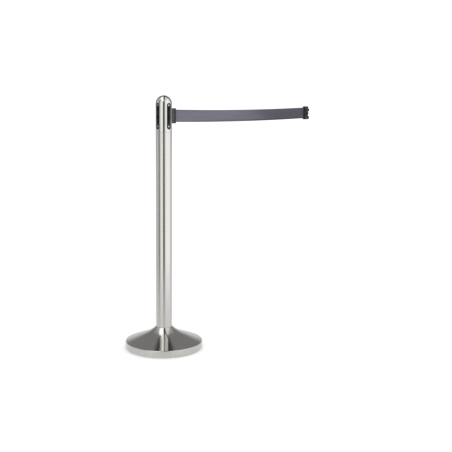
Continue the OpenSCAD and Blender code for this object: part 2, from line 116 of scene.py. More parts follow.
def face_out(piece, weld_distance=0.0):
    """Turns every face outwards, after joining the vertices that lie within weld_distance."""
    mesh = bmesh.new()
    mesh.from_mesh(piece.data)
    if weld_distance:
        bmesh.ops.remove_doubles(mesh, verts=mesh.verts, dist=weld_distance)
    bmesh.ops.recalc_face_normals(mesh, faces=mesh.faces)
    mesh.to_mesh(piece.data)
    mesh.free()


def weld(piece, distance=1e-6):
    face_out(piece, distance)
    piece.data.set_sharp_from_angle(angle=math.radians(SHARP_ANGLE))
    return piece


def arc(centre, radius, start, end, steps):
    """Points of an arc in a plane, angles in degrees."""
    turns = [math.radians(start + (end - start) * i / steps) for i in range(steps + 1)]
    return [(centre[0] + radius * math.cos(t), centre[1] + radius * math.sin(t)) for t in turns]


def lathe(name, outline, segments=192):
    """A closed outline of (radius, height) turned about the post's axis."""
    verts, faces = [], []
    count = len(outline)
    for s in range(segments):
        turn = 2 * math.pi * s / segments
        verts += [(r * math.cos(turn), r * math.sin(turn), z) for r, z in outline]
    for s in range(segments):
        here, there = s * count, (s + 1) % segments * count
        for i in range(count):
            j = (i + 1) % count
            faces.append((here + i, there + i, there + j, here + j))
    return weld(mesh_object(name, verts, faces))


def soften(piece, width, segments=2):
    """Welds a CAD node's corners and rounds its edges, by modifiers only."""
    join = piece.modifiers.new("join", "WELD")
    join.merge_threshold = 0.002 * MM
    edge = piece.modifiers.new("edge", "BEVEL")
    edge.width = width
    edge.segments = segments
    edge.limit_method = "ANGLE"
    edge.angle_limit = math.radians(40)
    edge.use_clamp_overlap = True
    edge.harden_normals = False


# ---------- Material helpers ----------

class Paint:
    """A procedural material: one Principled shader and the nodes that feed it."""

    def __init__(self, name, **sockets):
        self.material = bpy.data.materials.new(name)
        self.material.use_nodes = True
        self.tree = self.material.node_tree
        self.shader = self.tree.nodes["Principled BSDF"]
        self.set(**sockets)
        place = self.tree.nodes.new("ShaderNodeTexCoord")
        self.place = place.outputs["Object"]

    def set(self, **sockets):
        for key, value in sockets.items():
            label = key.replace("_", " ").title().replace("Ior", "IOR")
            self.feed(self.shader.inputs[label], value)

    def feed(self, socket, value):
        """Links a node's output to the socket, or sets a number, vector or colour."""
        if isinstance(value, bpy.types.NodeSocket):
            self.tree.links.new(value, socket)
            return
        held = socket.default_value
        if hasattr(held, "__len__") and len(held) == 4 and len(value) == 3:
            value = (*value, 1)
        socket.default_value = value

    def node(self, kind, *inputs, **settings):
        made = self.tree.nodes.new(kind)
        for key, value in settings.items():
            setattr(made, key, value)
        for socket, value in zip([s for s in made.inputs if s.enabled], inputs):
            if value is not None:
                self.feed(socket, value)
        return made

    def math(self, operation, *inputs):
        return self.node("ShaderNodeMath", *inputs, operation=operation).outputs[0]

    def add(self, first, second):
        return self.math("ADD", first, second)

    def times(self, first, second):
        return self.math("MULTIPLY", first, second)

    def join(self, x, y, z=0.0):
        return self.node("ShaderNodeCombineXYZ", x, y, z).outputs[0]

    def split(self):
        """The point's x, y and z."""
        return self.node("ShaderNodeSeparateXYZ", self.place).outputs

    def round_axis(self):
        """The tangent of a turned surface, for stretched highlights."""
        return self.node("ShaderNodeTangent", direction_type="RADIAL", axis="Z").outputs[0]

    def scaled(self, scale):
        made = self.node("ShaderNodeVectorMath", self.place, scale, operation="MULTIPLY")
        return made.outputs[0]

    def noise(self, place, scale, detail=2.0, rough=0.5):
        made = self.node("ShaderNodeTexNoise")
        self.feed(made.inputs["Vector"], place)
        made.inputs["Scale"].default_value = scale
        made.inputs["Detail"].default_value = detail
        made.inputs["Roughness"].default_value = rough
        return made.outputs["Fac"]

    def cells(self, place, scale):
        made = self.node("ShaderNodeTexVoronoi")
        self.feed(made.inputs["Vector"], place)
        made.inputs["Scale"].default_value = scale
        return made.outputs["Distance"]

    def spread(self, value, low, high, from_low=0.0, from_high=1.0):
        """value, mapped from one range to another and held at its ends."""
        made = self.node("ShaderNodeMapRange", value, from_low, from_high, low, high)
        return made.outputs[0]

    def share(self, value, start, end):
        """0 where value is below start, 1 where it is above end."""
        return self.spread(value, 0, 1, start, end)

    def ramp(self, value, *stops):
        made = self.node("ShaderNodeValToRGB", value)
        band = made.color_ramp
        while len(band.elements) < len(stops):
            band.elements.new(0.5)
        for element, (position, colour) in zip(band.elements, stops):
            element.position = position
            shade = colour if hasattr(colour, "__len__") else (colour,) * 3
            element.color = (*shade, 1)
        return made.outputs["Color"]

    def blend(self, share, first, second):
        made = self.node("ShaderNodeMix", data_type="RGBA")
        self.feed(made.inputs["Factor"], share)
        self.feed(made.inputs[6], first)
        self.feed(made.inputs[7], second)
        return made.outputs[2]

    def bump(self, height, distance, strength):
        made = self.node("ShaderNodeBump")
        made.inputs["Strength"].default_value = strength
        made.inputs["Distance"].default_value = distance
        self.feed(made.inputs["Height"], height)
        return made.outputs["Normal"]


# ---------- Materials ----------

def grain_along_z(paint):
    """Brushing that runs up the post: fine lines and a few longer, broader ones."""
    fine = paint.noise(paint.scaled((1, 1, 0.012)), 5200, 3, 0.6)
    broad = paint.noise(paint.scaled((1, 1, 0.02)), 900, 2)
    return paint.add(paint.times(fine, 0.7), paint.times(broad, 0.3))


def satin_steel():
    paint = Paint("satin_stainless", metallic=1.0, anisotropic=0.5)
    grain = grain_along_z(paint)
    smudge = paint.noise(paint.place, 9, 4)
    paint.set(
        base_color=paint.ramp(grain, (0.25, (0.60, 0.588, 0.562)), (0.75, (0.68, 0.667, 0.638))),
        roughness=paint.add(paint.spread(grain, 0.11, 0.17, 0.3, 0.7),
                            paint.spread(smudge, 0, 0.03)),
        normal=paint.bump(grain, 0.01 * MM, 0.35),
        tangent=paint.round_axis(),
    )
    return paint.material


def mirror_steel():
    paint = Paint("mirror_stainless", metallic=1.0)
    haze = paint.noise(paint.place, 60, 5, 0.6)
    peel = paint.noise(paint.place, 220, 2)
    scuff = paint.noise(paint.scaled((1, 1, 0.06)), 2400, 2, 0.7)
    paint.set(
        base_color=paint.ramp(haze, (0.3, (0.62, 0.612, 0.590)), (0.7, (0.68, 0.670, 0.645))),
        roughness=paint.add(paint.spread(haze, 0.03, 0.075, 0.3, 0.7),
                            paint.spread(scuff, 0, 0.03, 0.55, 0.8)),
        normal=paint.bump(peel, 0.02 * MM, 0.15),
    )
    return paint.material


def around(paint):
    """(distance from the post's axis, angle round it) of a point."""
    x, y, _ = paint.split()
    radius = paint.math("SQRT", paint.add(paint.times(x, x), paint.times(y, y)))
    return radius, paint.math("ARCTAN2", y, x)


def spun_steel():
    """The base cover: polished on a lathe, so its marks run round it."""
    paint = Paint("spun_stainless", metallic=1.0, anisotropic=0.7, anisotropic_rotation=0.25)
    radius, angle = around(paint)
    rings = paint.join(radius, paint.times(angle, 0.002))
    fine = paint.noise(rings, 4200, 3, 0.6)
    broad = paint.noise(rings, 420, 2)
    haze = paint.noise(paint.place, 14, 4)
    marks = paint.add(paint.times(fine, 0.6), paint.times(broad, 0.4))
    paint.set(
        base_color=paint.ramp(marks, (0.3, (0.60, 0.590, 0.568)), (0.7, (0.68, 0.669, 0.644))),
        roughness=paint.add(paint.spread(marks, 0.05, 0.11, 0.3, 0.7), paint.spread(haze, 0, 0.03)),
        normal=paint.bump(marks, 0.008 * MM, 0.25),
        tangent=paint.round_axis(),
    )
    return paint.material


def zinc_steel():
    paint = Paint("zinc_plated_steel", metallic=1.0)
    spangle = paint.cells(paint.place, 900)
    haze = paint.noise(paint.place, 500, 3)
    paint.set(
        base_color=paint.ramp(spangle, (0.1, (0.56, 0.56, 0.57)), (0.8, (0.44, 0.45, 0.47))),
        roughness=paint.spread(haze, 0.16, 0.34),
        normal=paint.bump(haze, 0.02 * MM, 0.4),
    )
    return paint.material


def oiled_steel():
    paint = Paint("oiled_turned_steel", metallic=1.0)
    radius, angle = around(paint)
    lines = paint.noise(paint.join(radius, 0.0, paint.times(angle, 0.004)), 3000, 3)
    paint.set(
        base_color=paint.ramp(lines, (0.3, (0.17, 0.165, 0.16)), (0.7, (0.27, 0.265, 0.255))),
        roughness=paint.spread(lines, 0.28, 0.48),
        normal=paint.bump(lines, 0.03 * MM, 0.5),
    )
    return paint.material


def spring_steel():
    paint = Paint("blued_spring_steel", metallic=1.0)
    tint = paint.noise(paint.place, 160, 3)
    paint.set(
        base_color=paint.ramp(tint, (0.3, (0.20, 0.23, 0.31)), (0.7, (0.36, 0.36, 0.38))),
        roughness=paint.spread(tint, 0.2, 0.36),
        normal=paint.bump(paint.noise(paint.place, 2600, 2), 0.01 * MM, 0.4),
    )
    return paint.material


def cast_iron():
    paint = Paint("enamelled_cast_iron", coat_weight=0.25, coat_roughness=0.35)
    lumps = paint.noise(paint.place, 260, 6, 0.65)
    sand = paint.cells(paint.place, 1500)
    height = paint.add(lumps, paint.times(sand, 0.35))
    paint.set(
        base_color=paint.ramp(lumps, (0.35, (0.018, 0.018, 0.02)), (0.68, (0.05, 0.048, 0.047))),
        roughness=paint.spread(lumps, 0.5, 0.75),
        normal=paint.bump(height, 0.35 * MM, 0.6),
    )
    return paint.material


def rubber():
    paint = Paint("black_rubber")
    grain = paint.noise(paint.place, 1800, 3)
    dust = paint.noise(paint.place, 45, 4)
    paint.set(
        base_color=paint.ramp(dust, (0.4, (0.02, 0.02, 0.021)), (0.75, (0.045, 0.044, 0.043))),
        roughness=paint.spread(grain, 0.62, 0.85),
        normal=paint.bump(grain, 0.05 * MM, 0.5),
    )
    return paint.material


def moulded_plastic(name, dark, light, rough, shine=0.5):
    """Moulded nylon: a fine spark-eroded skin, with a little wear and dust in it."""
    paint = Paint(name, specular_ior_level=shine)
    skin = paint.noise(paint.place, 2300, 3, 0.6)
    rub = paint.noise(paint.place, 90, 4)
    paint.set(
        base_color=paint.ramp(rub, (0.35, dark), (0.75, light)),
        roughness=paint.add(paint.spread(rub, rough, rough + 0.12), paint.spread(skin, 0, 0.08)),
        normal=paint.bump(skin, 0.03 * MM, 0.6),
    )
    return paint.material


def acetal():
    paint = Paint("turned_acetal", subsurface_weight=0.1, subsurface_scale=0.002)
    height = paint.split()[2]
    lines = paint.noise(paint.join(0.0, 0.0, height), 3500, 2)
    stain = paint.noise(paint.place, 120, 3)
    paint.set(
        base_color=paint.ramp(stain, (0.35, (0.72, 0.70, 0.63)), (0.7, (0.80, 0.79, 0.75))),
        roughness=paint.spread(lines, 0.3, 0.46),
        normal=paint.bump(lines, 0.02 * MM, 0.4),
    )
    return paint.material


def bronze():
    paint = Paint("sintered_bronze", metallic=1.0)
    pores = paint.cells(paint.place, 4200)
    paint.set(
        base_color=paint.ramp(pores, (0.05, (0.28, 0.16, 0.06)), (0.35, (0.60, 0.41, 0.19))),
        roughness=paint.spread(pores, 0.5, 0.3),
        normal=paint.bump(pores, 0.05 * MM, 0.6),
    )
    return paint.material


def webbing():
    """Polyester webbing: twill ribs on the slant, crossed by picks, with darker selvedges; painted
    shade darkens the hollows of the weave.
    """
    paint = Paint("woven_webbing", sheen_weight=0.06, sheen_roughness=0.4, specular_ior_level=0.15)
    x, _, z = paint.split()
    width = paint.math("SUBTRACT", z, BELT_Z)
    off_middle = paint.math("ABSOLUTE", width)
    warp = paint.math("SINE", paint.times(width, 2 * math.pi / (1.15 * MM)))
    pick = paint.math("SINE", paint.times(x, 2 * math.pi / (1.5 * MM)))
    slant = paint.add(paint.times(x, 2 * math.pi / (3.0 * MM)),
                      paint.times(off_middle, 2 * math.pi / (2.3 * MM)))
    twill = paint.math("SINE", slant)
    yarn = paint.noise(paint.scaled((0.25, 1, 1)), 1700, 3, 0.6)
    height = paint.add(paint.times(twill, 0.4), paint.times(warp, 0.25))
    height = paint.add(height, paint.times(pick, 0.2))
    height = paint.add(height, paint.times(yarn, 0.5))
    fade = paint.noise(paint.scaled((0.3, 1, 2.0)), 22, 4)
    # painted shade: the weave's hollows are coloured darker than its ribs, with a random fade of
    # the yarn's tone on top
    shade = paint.add(paint.spread(height, 0.0, 0.6, -0.6, 1.1), paint.times(fade, 0.4))
    body = paint.ramp(shade, (0.15, (0.107, 0.103, 0.130)), (0.9, (0.218, 0.211, 0.257)))
    selvedge = (BELT_W / 2 - 3.4 * MM, BELT_W / 2 - 1.2 * MM)
    edge = paint.spread(off_middle, 0, 0.55, *selvedge)
    paint.set(
        base_color=paint.blend(edge, body, (0.085, 0.082, 0.098)),
        roughness=paint.spread(yarn, 0.62, 0.82),
        normal=paint.bump(height, 0.12 * MM, 0.7),
    )
    return paint.material


def thread():
    paint = Paint("sewing_thread", sheen_weight=0.3)
    ply = paint.noise(paint.place, 5000, 2)
    paint.set(
        base_color=paint.ramp(ply, (0.3, (0.030, 0.029, 0.033)), (0.7, (0.075, 0.072, 0.082))),
        roughness=paint.spread(ply, 0.5, 0.7),
        normal=paint.bump(ply, 0.05 * MM, 0.7),
    )
    return paint.material


BLACK = moulded_plastic("black_nylon", (0.015, 0.0135, 0.0165), (0.036, 0.033, 0.039), 0.36, 0.28)
GREY = moulded_plastic("grey_nylon", (0.026, 0.025, 0.027), (0.047, 0.045, 0.049), 0.34)
# By the material slots of the CAD record
LOOKS = {
    "rubber_black": rubber(),
    "cast_iron": cast_iron(),
    "polished_cover": spun_steel(),
    "polished_head": mirror_steel(),
    "satin_tube": satin_steel(),
    "zinc_steel": zinc_steel(),
    "plug_steel": oiled_steel(),
    "spring_steel": spring_steel(),
    "black_plastic": BLACK,
    "grey_plastic": GREY,
    "white_acetal": acetal(),
    "bronze": bronze(),
    "webbing": webbing(),
}
THREAD = thread()


def paint_nodes():
    for part in frame["record"]["subparts"]:
        data = NODES[part["node"]].data
        data.materials.clear()
        data.materials.append(LOOKS[part["material_slot"]])


def finish_piece(piece, body, slot_name, *replaced):
    """Gives a modelled piece its look and slot, the body it rides on and the nodes it replaces."""
    piece.data.materials.clear()
    piece.data.materials.append(LOOKS[slot_name])
    if body:
        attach(piece, body)
    if replaced:
        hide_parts(*replaced)
    return piece


# ---------- Post ----------

def post_tube():
    """The tube, with a small chamfer on both ends, inside and out."""
    chamfer = 0.35 * MM
    inner = TUBE_R - WALL
    low, high = TUBE_LOW.z, TUBE_HIGH.z
    stations = [low + chamfer + (high - low - 2 * chamfer) * i / 24 for i in range(25)]
    outline = [(TUBE_R - chamfer, low)]
    outline += [(TUBE_R, z) for z in stations]
    outline += [(TUBE_R - chamfer, high), (inner + chamfer, high)]
    outline += [(inner, z) for z in reversed(stations)]
    outline += [(inner + chamfer, low)]
    return finish_piece(lathe("post_tube_satin", outline), "stand", "satin_tube", "post_tube")


def base_cover():
    """The spun cover: a lip turned in, an upright rim, a shallow cone and a curve to the neck."""
    rim_round, lip, lip_t = 2 * MM, 8 * MM, 1 * MM
    hole_r, neck_round = TUBE_R + 0.4 * MM, 0.8 * MM
    neck_r, neck_z = hole_r + 1.4 * MM, COVER_HIGH.z - neck_round
    flare_r, lift = 150 * MM, 11.3 * MM
    rim_centre = (COVER_R - rim_round, COVER_LOW.z + 25.5 * MM)
    run = Vector((rim_centre[0], rim_centre[1] + rim_round)) - Vector((neck_r, neck_z - lift))
    along = run.normalized()
    up = Vector((-along.y, along.x))
    slope = math.degrees(-math.atan2(along.y, along.x))
    above = lift * math.cos(math.radians(slope))
    reach = math.sqrt(above * (2 * flare_r - above))
    centre = Vector((neck_r, neck_z)) + along * reach + up * (flare_r - above)
    start = math.degrees(math.atan2(neck_z - centre.y, neck_r - centre.x)) % 360
    end = 270 - slope
    curve = arc(centre, flare_r, start, end, 26)
    corner = arc(rim_centre, rim_round, 90 - slope, 0, 8)
    cone = [tuple(Vector(curve[-1]).lerp(Vector(corner[0]), i / 16)) for i in range(1, 16)]
    inner_curve = arc(centre, flare_r + WALL, end, start + 0.6, 26)
    inner_corner = arc(rim_centre, rim_round - WALL, 0, 90 - slope, 3)
    low = COVER_LOW.z
    outline = [(hole_r, neck_z - 2.4 * MM)]
    outline += arc((hole_r + neck_round, neck_z), neck_round, 180, 48, 8)
    outline += curve + cone + corner
    outline += [(COVER_R, low + 0.4 * MM), (COVER_R - 0.4 * MM, low), (COVER_R - lip, low)]
    outline += [(COVER_R - lip, low + lip_t), (COVER_R - WALL, low + lip_t)]
    outline += inner_corner + inner_curve
    cover = lathe("base_cover_spun", outline, 256)
    return finish_piece(cover, "stand", "polished_cover", "base_cover")


WINDOW_STEPS = 32               # round each end of a window
SIDE_STEPS = 28                 # up each straight side
PANEL_RINGS = 14                # from a quarter's border in to the window, outside
INNER_RINGS = 5                 # the same, inside
RING_EASE = 1.3                 # draws the outer rings together towards the window
DOME_ROWS = 22
EDGE_ROUND = 0.45 * MM          # of the window's outer edge
RING_START = 1.6 * EDGE_ROUND   # from the window's edge to the first ring
INNER_CHAMFER = 0.15 * MM
DOME_RING_Z = EQUATOR_Z + 15 * MM


def on_head(sideways, z, depth, turn):
    """A point `depth` under the head's surface, `sideways` from the plane of a window's middle."""
    radius = TUBE_R - depth
    above = max(0.0, z - EQUATOR_Z)
    level = radius * radius - above * above
    x = math.sqrt(max(0.0, level - sideways * sideways))
    cos, sin = math.cos(turn), math.sin(turn)
    return (x * cos - sideways * sin, x * sin + sideways * cos, z)


def on_head_at(across, z, depth, turn):
    """The same, for a point that stands at the angle `across` from the window's middle."""
    above = max(0.0, z - EQUATOR_Z)
    level = math.sqrt(max(0.0, (TUBE_R - depth) ** 2 - above * above))
    return (level * math.cos(across + turn), level * math.sin(across + turn), z)


def window_outline():
    """Round a window: sideways, height, outward normal, and the matching place on the border."""
    radius, reach = WINDOW_W / 2, math.radians(45)
    straight = WINDOW_H / 2 - radius
    rows = []
    for upper, border_z in ((True, DOME_RING_Z), (False, HEAD_LOW.z)):
        sign = 1 if upper else -1
        for i in range(WINDOW_STEPS + 1):
            turn = math.pi * i / WINDOW_STEPS
            side = sign * math.cos(turn)
            up = sign * math.sin(turn)
            corner = min(1.0, 4 * min(i, WINDOW_STEPS - i) / WINDOW_STEPS)
            level = BELT_Z + sign * straight
            across = max(-reach, min(reach, sign * reach * (2 - 4 * i / WINDOW_STEPS)))
            rows.append((radius * side, BELT_Z + sign * straight + radius * up, side, up,
                         across, level + (border_z - level) * corner))
        for i in range(1, SIDE_STEPS):
            z = BELT_Z + sign * straight * (1 - 2 * i / SIDE_STEPS)
            rows.append((-sign * radius, z, -sign, 0.0, -sign * reach, z))
    return rows


def window_strip(row, turn):
    """One strip of the head: from the border in to the window, through the wall and out again."""
    sideways, z, side, up, border_across, border_z = row
    strip = []
    for depth, rings, inside in ((0.0, PANEL_RINGS, False), (WALL, INNER_RINGS, True)):
        near_side, near_z = sideways + side * RING_START, z + up * RING_START
        above = max(0.0, near_z - EQUATOR_Z)
        level = math.sqrt((TUBE_R - depth) ** 2 - above * above)
        near_across = math.asin(near_side / level)
        part = []
        for k in range(rings + 1):
            t = 1 - k / rings if inside else 1 - (k / rings) ** RING_EASE
            across = near_across + (border_across - near_across) * t
            height = near_z + (border_z - near_z) * t
            part.append(on_head_at(across, height, depth, turn))
        if inside:
            strip += part[::-1]
            continue
        strip += part
        for a in (0, 30, 60, 90):
            out = EDGE_ROUND * (1 - math.sin(math.radians(a)))
            deep = EDGE_ROUND * (1 - math.cos(math.radians(a)))
            strip.append(on_head(sideways + side * out, z + up * out, deep, turn))
        strip.append(on_head(sideways, z, WALL - INNER_CHAMFER, turn))
        back_side, back_z = sideways + side * INNER_CHAMFER, z + up * INNER_CHAMFER
        strip.append(on_head(back_side, back_z, WALL, turn))
    return strip


def head_shell():
    """The domed head: four quarters with a window each, and the dome over them."""
    verts, faces = [], []
    rows = window_outline()
    for quarter in range(4):
        turn = quarter * math.pi / 2
        strips = [window_strip(row, turn) for row in rows]
        count, length, base = len(strips), len(strips[0]), len(verts)
        for strip in strips:
            verts += strip
        for i in range(count):
            here, there = base + i * length, base + (i + 1) % count * length
            for k in range(length - 1):
                faces.append((here + k, here + k + 1, there + k + 1, there + k))
            both_low = all(abs(rows[j][5] - HEAD_LOW.z) < 1e-9 for j in (i, (i + 1) % count))
            if both_low:
                faces.append((here, there, there + length - 1, here + length - 1))
    ring = 2 * WINDOW_STEPS
    for depth in (0.0, WALL):
        base, radius = len(verts), TUBE_R - depth
        start = math.asin((DOME_RING_Z - EQUATOR_Z) / radius)
        for k in range(DOME_ROWS):
            rise = start + (math.pi / 2 - start) * k / DOME_ROWS
            level, z = radius * math.cos(rise), EQUATOR_Z + radius * math.sin(rise)
            for i in range(ring):
                turn = 2 * math.pi * i / ring + math.pi / 4
                verts.append((level * math.cos(turn), level * math.sin(turn), z))
        verts.append((0, 0, EQUATOR_Z + TUBE_R - depth))
        for k in range(DOME_ROWS - 1):
            for i in range(ring):
                j = (i + 1) % ring
                here, there = base + k * ring, base + (k + 1) * ring
                faces.append((here + i, here + j, there + j, there + i))
        last = base + (DOME_ROWS - 1) * ring
        faces += [(last + i, last + (i + 1) % ring, len(verts) - 1) for i in range(ring)]
    piece = weld(mesh_object("head_dome_polished", verts, faces), 2e-6)
    return finish_piece(piece, "stand", "polished_head", "head_shell")


# ---------- Belt ----------

HEM_SIDE_Y = BELT_T * 1.5 + 0.04 * MM       # far face of the sewn-back layer
SELVEDGE = 0.3 * MM                         # half the thickness of the belt's edge
RIPPLE = 0.35 * MM
STITCH_R = 0.18 * MM
STITCH_PITCH = 3.1 * MM


def belt_path():
    """The belt's middle line from above, reel to hem's end: (x, y, normal x, normal y)."""
    roller = (ROLLER_LOW + ROLLER_HIGH) / 2
    bar = (BAR_LOW + BAR_HIGH) / 2
    gap = 0.02 * MM
    leave_r = ROLL_HIGH.x + BELT_T / 2 + gap
    wrap_r = -roller.y
    slope = math.asin((leave_r + wrap_r) / math.hypot(roller.x, roller.y))
    slope -= math.atan2(wrap_r, roller.x)
    sin, cos = math.sin(slope), math.cos(slope)
    lead = [(leave_r * sin, -leave_r * cos, -sin, cos)]
    for i in range(6, -1, -1):
        sin, cos = math.sin(slope * i / 6), math.cos(slope * i / 6)
        lead.append((roller.x - wrap_r * sin, wrap_r * cos - wrap_r, -sin, cos))
    first = Vector(lead[0][:2])
    second = Vector(lead[1][:2])
    straight = [(*first.lerp(second, i / 10), *lead[0][2:]) for i in range(10)]
    steps = 240
    run = [(MOUTH_X + (bar.x - MOUTH_X) * i / steps, 0.0, 0.0, 1.0) for i in range(steps)]
    loop_r = bar.y
    lie_y = HEM_SIDE_Y - BELT_T / 2
    start, end = CLIP_X + 1.6 * MM, HEM_LOW.x
    # the belt leaves the bar on the tangent that meets the lying layer
    leave = math.atan2(lie_y - loop_r, start - bar.x) + 2 * math.pi
    leave -= math.acos(loop_r / math.hypot(start - bar.x, lie_y - loop_r))
    loop = []
    for i in range(25):
        a = -math.pi / 2 + (leave + math.pi / 2) * i / 24
        cos, sin = math.cos(a), math.sin(a)
        loop.append((bar.x + loop_r * cos, loop_r + loop_r * sin, -cos, -sin))
    bend = (leave + 1.5 * math.pi) / 2 - math.pi
    hem = [(start, lie_y, math.cos(bend), math.sin(bend))]
    hem += [(start + (end - start) * i / 16, lie_y, 0.0, -1.0) for i in range(1, 17)]
    return straight + lead[1:] + run + loop + hem


def belt_section():
    """Across the belt: (out from its middle plane, up from its middle), once round."""
    half = BELT_W / 2
    side = [(BELT_T / 2, (half - 1.5 * MM) * (2 * i / 14 - 1)) for i in range(15)]
    cap = arc((0, half - SELVEDGE), SELVEDGE, 0, 180, 6)
    cap = [(SELVEDGE, half - 1.0 * MM)] + cap + [(-SELVEDGE, half - 1.0 * MM)]
    return side + cap + [(-o, -u) for o, u in side] + [(-o, -u) for o, u in cap]


def belt():
    """The webbing from the reel, out of the mouth, round the clip's bar and back, as one strip."""
    path, section = belt_path(), belt_section()
    verts, faces, weights = [], [], []
    count = len(section)
    free_end = HEM_LOW.x
    for i, (x, y, nx, ny) in enumerate(path):
        share = min(1.0, max(0.0, (x - MOUTH_X) / (CLIP_X - MOUTH_X)))
        sag = -4 * BELT_SAG * share * (1 - share)
        # the wave stays on one side, so that the belt wound in doesn't bend into the right roller
        wave = 1 + math.sin(2.4 * math.pi * share + 0.6)
        ripple = RIPPLE * wave * math.sin(math.pi * share) ** 2
        weight = min(1.0, max(0.0, (x - MOUTH_X) / (free_end - MOUTH_X)))
        for out, up in section:
            verts.append((x + nx * out, y + ny * out + ripple, BELT_Z + up + sag))
            weights.append(weight)
        if i:
            here, back = i * count, (i - 1) * count
            for k in range(count):
                j = (k + 1) % count
                faces.append((back + k, here + k, here + j, back + j))
    faces.append(tuple(range(count)))
    faces.append(tuple(reversed(range(len(verts) - count, len(verts)))))
    piece = mesh_object("belt_webbing", verts, faces)
    face_out(piece)
    finish_piece(piece, None, "webbing", "belt_lead", "belt_run", "belt_hem")
    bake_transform(piece)
    return piece


def stitch(verts, faces, start, end, out, radius=STITCH_R):
    """A short thread that rises from the cloth at start and dips back at end."""
    along = (end - start).normalized()
    side = along.cross(out).normalized()
    base, rows, sides = len(verts), 7, 6
    for i in range(rows):
        t = i / (rows - 1)
        swell = math.sin(math.pi * t) ** 0.5 if 0 < t < 1 else 0.15
        centre = start.lerp(end, t) + out * radius * (1.6 * math.sin(math.pi * t) - 0.6)
        for k in range(sides):
            a = 2 * math.pi * k / sides
            verts.append(centre + (side * math.cos(a) + out * math.sin(a)) * radius * swell)
    for i in range(rows - 1):
        for k in range(sides):
            j = (k + 1) % sides
            here, there = base + i * sides, base + (i + 1) * sides
            faces.append((here + k, here + j, there + j, there + k))
    faces.append(tuple(reversed(range(base, base + sides))))
    faces.append(tuple(range(base + (rows - 1) * sides, base + rows * sides)))


def stitch_line(verts, faces, start, end, out):
    start, end, out = Vector(start), Vector(end), Vector(out)
    gap = 0.12      # of a pitch, at each end of a stitch
    count = max(1, round((end - start).length / STITCH_PITCH))
    for i in range(count):
        first, last = start.lerp(end, (i + gap) / count), start.lerp(end, (i + 1 - gap) / count)
        stitch(verts, faces, first, last, out)


def hem_stitching():
    """A sewn box with a cross in it, on both faces of the hem."""
    verts, faces = [], []
    left, right = HEM_LOW.x + 3 * MM, CLIP_X - 2.5 * MM
    half = BELT_W / 2 - 4 * MM
    low, high = BELT_Z - half, BELT_Z + half
    for y, out in ((-BELT_T / 2, (0, -1, 0)), (HEM_SIDE_Y, (0, 1, 0))):
        corners = [(left, y, low), (right, y, low), (right, y, high), (left, y, high)]
        lines = [(corners[i], corners[(i + 1) % 4]) for i in range(4)]
        lines += [(corners[0], corners[2]), (corners[1], corners[3])]
        for start, end in lines:
            stitch_line(verts, faces, start, end, out)
    piece = mesh_object("hem_stitching", verts, faces)
    face_out(piece)
    finish_piece(piece, "belt_end", "webbing")
    piece.data.materials[0] = THREAD
    return piece


# ---------- Small parts ----------

def lock_spring():
    """The lock's coil spring, wound round X with closed ends."""
    low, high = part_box("lock_spring")
    wire, turns, sides, steps = 0.22 * MM, 6, 10, 240
    coil_r = (high.z - low.z) / 2 - wire
    middle = (low + high) / 2
    start, end = low.x + wire, high.x - wire
    closed = 2 * wire / (end - start)       # share of the length that a closed end turn takes
    verts, faces = [], []
    for i in range(steps + 1):
        turn = turns * i / steps
        if turn < 1:
            share = closed * turn
        elif turn > turns - 1:
            share = 1 - closed * (turns - turn)
        else:
            share = closed + (1 - 2 * closed) * (turn - 1) / (turns - 2)
        out = Vector((0, math.cos(2 * math.pi * turn), math.sin(2 * math.pi * turn)))
        centre = Vector((start + (end - start) * share, middle.y, middle.z)) + out * coil_r
        for k in range(sides):
            a = 2 * math.pi * k / sides
            verts.append(centre + (out * math.cos(a) + Vector((1, 0, 0)) * math.sin(a)) * wire)
    for i in range(steps):
        for k in range(sides):
            j = (k + 1) % sides
            faces.append((i * sides + k, i * sides + j, (i + 1) * sides + j, (i + 1) * sides + k))
    faces.append(tuple(reversed(range(sides))))
    faces.append(tuple(range(steps * sides, (steps + 1) * sides)))
    piece = mesh_object("lock_spring_coil", verts, faces, sharp_angle=50)
    face_out(piece)
    finish_piece(piece, None, "spring_steel", "lock_spring")
    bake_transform(piece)
    return piece


def ease_edges():
    """CAD parts whose shape is right, with their edges rounded as a mould leaves them."""
    widths = {
        "belt_guide": 0.5, "mouth_bezel": 0.7, "clip_front_shell": 0.5, "clip_back_shell": 0.5,
        "hook_lugs": 0.35, "lock_slider": 0.25,
        "receiver_left": 0.35, "receiver_right": 0.35, "receiver_rear": 0.35,
    }
    for node, width in widths.items():
        soften(NODES[node], width * MM)


# ---------- Stage ----------

CAMERA_AZIMUTH = math.radians(39.9)     # the camera stands this far round from -Y towards -X
CAMERA_DISTANCE = 3.303
CAMERA_HEIGHT = 1.043
CAMERA_LENS = 67.68
CAMERA_DIP = math.radians(9.45)         # how far it looks below the level
CAMERA_TURN = math.radians(-44.135)     # its direction, from +Y
CAMERA_ROLL = math.radians(0.634)
TENT_R = 2.6
TENT_WALL = 1.9
TENT_FLOOR_Z = 0.001


def camera():
    data = bpy.data.cameras.new("camera")
    data.sensor_width = 36
    data.lens = CAMERA_LENS
    data.clip_start, data.clip_end = 0.05, 50
    piece = new_object("camera", data)
    piece.location = (-math.sin(CAMERA_AZIMUTH) * CAMERA_DISTANCE,
                      -math.cos(CAMERA_AZIMUTH) * CAMERA_DISTANCE, CAMERA_HEIGHT)
    roll = Euler((0, 0, CAMERA_ROLL)).to_matrix()
    tilt = Euler((math.pi / 2 - CAMERA_DIP, 0, CAMERA_TURN), "XYZ").to_matrix()
    piece.rotation_euler = (tilt @ roll).to_euler()
    bpy.context.scene.camera = piece


def grey(bright):
    return (bright, bright, bright)


